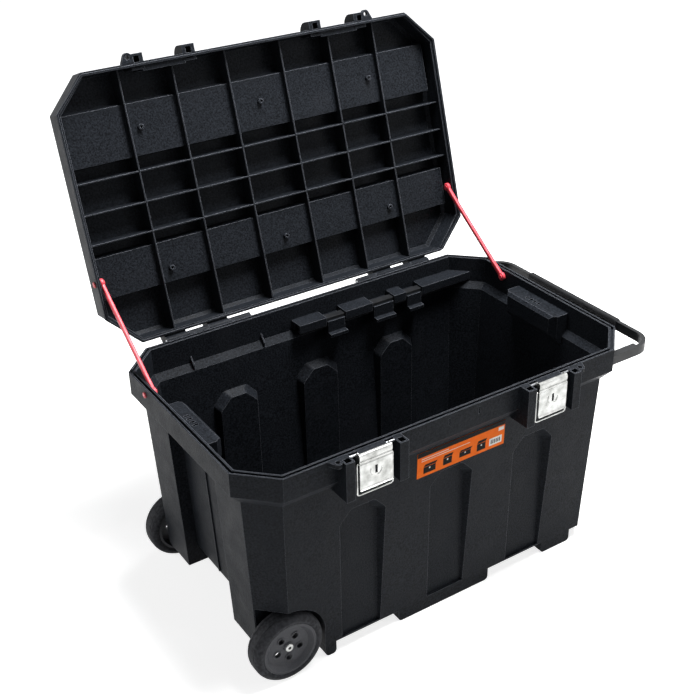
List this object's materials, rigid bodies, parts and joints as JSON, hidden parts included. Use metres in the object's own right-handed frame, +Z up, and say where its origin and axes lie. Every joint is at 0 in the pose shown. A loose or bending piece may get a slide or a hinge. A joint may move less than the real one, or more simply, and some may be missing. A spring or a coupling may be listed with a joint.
{
  "type": "mobile jobsite storage box",
  "caption": "Wheeled plastic tool chest with a propped ribbed lid, draw latches, a telescoping pull handle and lid stays.",
  "frame": {"origin": "middle of the whole object's footprint, on the floor, with the lid open and the handle stowed", "axes": "+X towards the pull handle, -Y towards the latches at the front, +Z up"},
  "size_m": [1.0536, 0.8472, 1.0988],
  "materials": {
    "black_polypropylene": "satin moulded polypropylene",
    "label_film": "glossy label film",
    "plain_steel": "plain drawn steel",
    "zinc_plated_steel": "bright zinc plate",
    "black_painted_steel": "gloss black paint",
    "soft_grip": "ribbed soft grip",
    "tyre": "matt rubber",
    "hub_plastic": "satin moulded plastic",
    "coral_strap": "soft coral-red plastic"
  },
  "bodies": {
    "chest": {"chest_shell": "black_polypropylene", "front_label": "label_film", "hinge_pin_right": "plain_steel", "hinge_pin_left": "plain_steel", "latch_pin_right": "plain_steel", "latch_pin_left": "plain_steel", "axle": "black_painted_steel", "axle_cap_back": "zinc_plated_steel", "axle_cap_front": "zinc_plated_steel", "wheel_spacer_back": "hub_plastic", "wheel_spacer_front": "hub_plastic", "stay_pin_low_right": "coral_strap", "stay_pin_low_left": "coral_strap", "stay_strap_right": "coral_strap", "stay_strap_left": "coral_strap"},
    "lid": {"lid_shell": "black_polypropylene", "stay_pin_high_right": "coral_strap", "stay_pin_high_left": "coral_strap"},
    "handle": {"handle_frame": "black_painted_steel", "handle_grip": "soft_grip"},
    "wheel_front": {"tyre_front": "tyre", "hub_front": "hub_plastic"},
    "wheel_back": {"tyre_back": "tyre", "hub_back": "hub_plastic"},
    "lever_right": {"latch_lever_right": "zinc_plated_steel"},
    "lever_left": {"latch_lever_left": "zinc_plated_steel"},
    "bail_right": {"latch_bail_right": "zinc_plated_steel"},
    "bail_left": {"latch_bail_left": "zinc_plated_steel"}
  },
  "joints": [
    {"name": "lid_hinge", "type": "hinge", "parent": "chest", "child": "lid", "pos_m": [-0.04375, 0.19485, 0.5134], "axis": [1, 0, 0], "range_deg": [0, 106.5], "deforming": ["stay_strap_right", "stay_strap_left"]},
    {"name": "handle_slide", "type": "slide", "parent": "chest", "child": "handle", "axis": [1, 0, 0], "range_m": [0, 0.25]},
    {"name": "wheel_front_spin", "type": "hinge", "parent": "chest", "child": "wheel_front", "pos_m": [-0.43975, -0.34555, 0.079], "axis": [0, 1, 0], "continuous": true},
    {"name": "wheel_back_spin", "type": "hinge", "parent": "chest", "child": "wheel_back", "pos_m": [-0.43975, 0.13445, 0.079], "axis": [0, 1, 0], "continuous": true},
    {"name": "lever_right_hinge", "type": "hinge", "parent": "chest", "child": "lever_right", "pos_m": [0.17525, -0.40305, 0.516], "axis": [-1, 0, 0], "range_deg": [0, 95]},
    {"name": "bail_right_hinge", "type": "hinge", "parent": "lever_right", "child": "bail_right", "pos_m": [0.17525, -0.41285, 0.5], "axis": [1, 0, 0], "range_deg": [-197.5, 0]},
    {"name": "lever_left_hinge", "type": "hinge", "parent": "chest", "child": "lever_left", "pos_m": [-0.26275, -0.40305, 0.516], "axis": [-1, 0, 0], "range_deg": [0, 95]},
    {"name": "bail_left_hinge", "type": "hinge", "parent": "lever_left", "child": "bail_left", "pos_m": [-0.26275, -0.41285, 0.5], "axis": [1, 0, 0], "range_deg": [-197.5, 0]}
  ]
}
